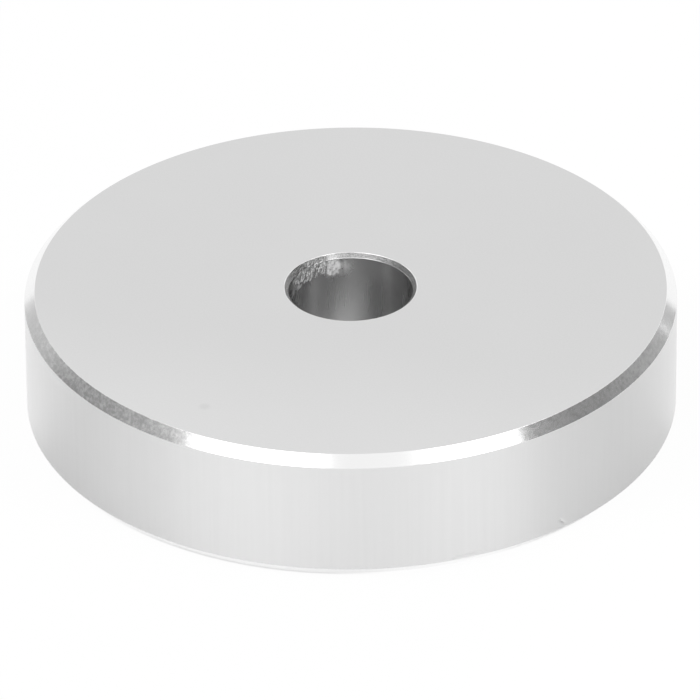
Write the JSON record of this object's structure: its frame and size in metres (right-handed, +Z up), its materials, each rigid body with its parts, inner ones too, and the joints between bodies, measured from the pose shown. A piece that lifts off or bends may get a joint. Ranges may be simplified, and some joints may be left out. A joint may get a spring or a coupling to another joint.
{
  "type": "record spindle adapter",
  "caption": "Plain turned aluminium puck with chamfered edges that fills a record's large centre hole and slides over a turntable spindle through its central bore.",
  "frame": {"origin": "centre of the underside, on the bore axis, where the adapter rests on a platter", "axes": "+Z up along the bore axis; the body is round, so X and Y are free"},
  "size_m": [0.0382, 0.0382, 0.008],
  "materials": {
    "turned_aluminium": "satin faces, fine turned wall, bright cut chamfers, reamed bore"
  },
  "bodies": {
    "root": {"adapter_body": "turned_aluminium"}
  },
  "joints": []
}
